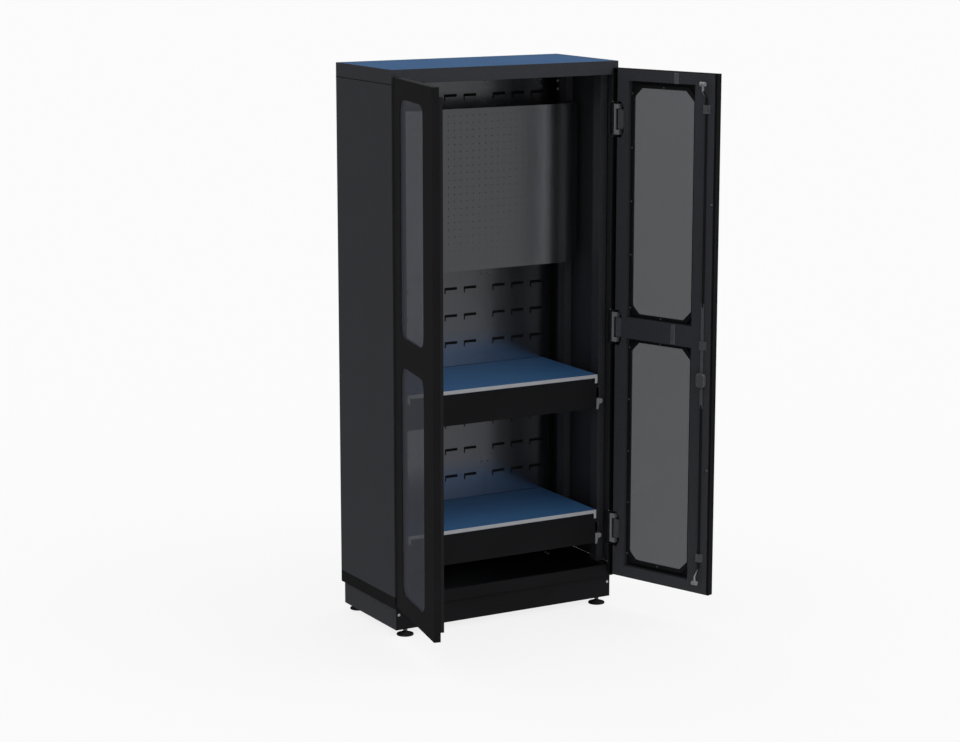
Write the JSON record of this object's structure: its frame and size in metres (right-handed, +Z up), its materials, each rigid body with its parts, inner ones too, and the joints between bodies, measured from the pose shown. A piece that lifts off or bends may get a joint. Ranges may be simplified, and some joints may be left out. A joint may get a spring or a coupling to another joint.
{
  "type": "anti-static storage cabinet",
  "caption": "Tall black steel storage cabinet with glazed swing doors, a rod lock, a perforated tool panel, slotted rear panels, pull-out shelves with blue anti-static tops, and levelling feet.",
  "frame": {"origin": "on the floor under the middle of the whole cabinet's box, as it stands with both doors open", "axes": "+Z up, +Y from the doors to the back of the cabinet, +X to the right seen from the front"},
  "size_m": [1.1554, 0.8692, 1.977],
  "materials": {
    "black_paint": "satin black powder coat",
    "grey_paint": "fine textured dark grey powder coat",
    "panel_paint": "semi-gloss grey metallic coat",
    "blue_mat": "matte blue anti-static mat",
    "aluminium": "satin anodised",
    "steel": "zinc plated",
    "chrome": "bright",
    "smoked_glazing": "smoked clear sheet",
    "light_plastic": "light grey moulding",
    "black_rubber": "matte black moulding"
  },
  "bodies": {
    "cabinet": {"plinth_frame": "grey_paint", "base_tray": "black_paint", "side_panel_left": "grey_paint", "side_panel_right": "grey_paint", "back_panel_left": "panel_paint", "back_panel_middle": "panel_paint", "back_panel_right": "panel_paint", "rear_sheet": "grey_paint", "top_cap": "grey_paint", "top_mat": "blue_mat", "runner_frame_left": "grey_paint", "runner_frame_right": "grey_paint", "tool_panel": "panel_paint", "hinge_bracket_left_low": "black_paint", "hinge_bracket_left_middle": "black_paint", "hinge_bracket_left_high": "black_paint", "hinge_bracket_right_low": "black_paint", "hinge_bracket_right_middle": "black_paint", "hinge_bracket_right_high": "black_paint"},
    "left_door": {"door_pan_left": "black_paint", "door_frame_left": "grey_paint", "upper_pane_left": "smoked_glazing", "lower_pane_left": "smoked_glazing", "upper_retainer_left": "black_paint", "lower_retainer_left": "black_paint", "hinge_casting_left_low": "chrome", "hinge_casting_left_middle": "chrome", "hinge_casting_left_high": "chrome", "closing_strip_left": "black_paint"},
    "right_door": {"door_pan_right": "black_paint", "door_frame_right": "grey_paint", "upper_pane_right": "smoked_glazing", "lower_pane_right": "smoked_glazing", "upper_retainer_right": "black_paint", "lower_retainer_right": "black_paint", "hinge_casting_right_low": "chrome", "hinge_casting_right_middle": "chrome", "hinge_casting_right_high": "chrome", "lock_case": "steel", "handle_plate": "black_paint"},
    "handle": {"door_handle": "black_paint"},
    "rod_upper": {"lock_rod_upper": "steel"},
    "rod_lower": {"lock_rod_lower": "steel"},
    "upper_shelf": {"upper_shelf_board": "blue_mat", "upper_shelf_edge": "aluminium", "upper_shelf_frame": "black_paint"},
    "lower_shelf": {"lower_shelf_board": "blue_mat", "lower_shelf_edge": "aluminium", "lower_shelf_frame": "black_paint"},
    "upper_runner": {"upper_runner_left": "steel", "upper_runner_right": "steel"},
    "lower_runner": {"lower_runner_left": "steel", "lower_runner_right": "steel"},
    "upper_latch": {"upper_shelf_latch": "light_plastic"},
    "lower_latch": {"lower_shelf_latch": "light_plastic"},
    "foot_front_left": {"levelling_foot_front_left": "black_rubber"},
    "foot_front_right": {"levelling_foot_front_right": "black_rubber"},
    "foot_rear_left": {"levelling_foot_rear_left": "black_rubber"},
    "foot_rear_right": {"levelling_foot_rear_right": "black_rubber"}
  },
  "joints": [
    {"name": "left_door_hinge", "type": "hinge", "parent": "cabinet", "child": "left_door", "pos_m": [-0.47986, -0.00438, 1], "axis": [0, 0, -1], "range_deg": [-101.4, 16.6]},
    {"name": "right_door_hinge", "type": "hinge", "parent": "cabinet", "child": "right_door", "pos_m": [0.39414, -0.00438, 1], "axis": [0, 0, 1], "range_deg": [-109.6, 8.4]},
    {"name": "handle_turn", "type": "hinge", "parent": "right_door", "child": "handle", "pos_m": [0.53761, -0.37153, 0.89], "axis": [0.9421, 0.3355, 0], "range_deg": [0, 90]},
    {"name": "rod_upper_slide", "type": "slide", "parent": "right_door", "child": "rod_upper", "axis": [0, 0, 1], "range_m": [0, 0.019]},
    {"name": "rod_lower_slide", "type": "slide", "parent": "right_door", "child": "rod_lower", "axis": [0, 0, -1], "range_m": [0, 0.019]},
    {"name": "upper_shelf_pull", "type": "slide", "parent": "cabinet", "child": "upper_shelf", "axis": [0, -1, 0], "range_m": [0, 0.3]},
    {"name": "lower_shelf_pull", "type": "slide", "parent": "cabinet", "child": "lower_shelf", "axis": [0, -1, 0], "range_m": [0, 0.3]},
    {"name": "upper_runner_slide", "type": "slide", "parent": "cabinet", "child": "upper_runner", "axis": [0, -1, 0], "range_m": [0, 0.15]},
    {"name": "lower_runner_slide", "type": "slide", "parent": "cabinet", "child": "lower_runner", "axis": [0, -1, 0], "range_m": [0, 0.15]},
    {"name": "upper_latch_turn", "type": "hinge", "parent": "upper_shelf", "child": "upper_latch", "pos_m": [0.34729, 0.03562, 0.7287], "axis": [0, 1, 0], "range_deg": [0, 20], "stiffness_Nm_per_rad": 0.08, "springref_deg": -11.46},
    {"name": "lower_latch_turn", "type": "hinge", "parent": "lower_shelf", "child": "lower_latch", "pos_m": [0.34729, 0.03562, 0.2277], "axis": [0, 1, 0], "range_deg": [0, 20], "stiffness_Nm_per_rad": 0.08, "springref_deg": -11.46},
    {"name": "foot_front_left_turn", "type": "hinge", "parent": "cabinet", "child": "foot_front_left", "pos_m": [-0.43886, 0.04062, 0], "axis": [0, 0, 1], "continuous": true},
    {"name": "foot_front_right_turn", "type": "hinge", "parent": "cabinet", "child": "foot_front_right", "pos_m": [0.35314, 0.04062, 0], "axis": [0, 0, 1], "continuous": true},
    {"name": "foot_rear_left_turn", "type": "hinge", "parent": "cabinet", "child": "foot_rear_left", "pos_m": [-0.43886, 0.40462, 0], "axis": [0, 0, 1], "continuous": true},
    {"name": "foot_rear_right_turn", "type": "hinge", "parent": "cabinet", "child": "foot_rear_right", "pos_m": [0.35314, 0.40462, 0], "axis": [0, 0, 1], "continuous": true}
  ],
  "couplings": [
    {"joint": "rod_upper_slide", "follows": "handle_turn", "m_per_rad": 0.012095},
    {"joint": "rod_lower_slide", "follows": "handle_turn", "m_per_rad": 0.012095},
    {"joint": "upper_runner_slide", "follows": "upper_shelf_pull", "ratio": 0.5},
    {"joint": "lower_runner_slide", "follows": "lower_shelf_pull", "ratio": 0.5}
  ]
}
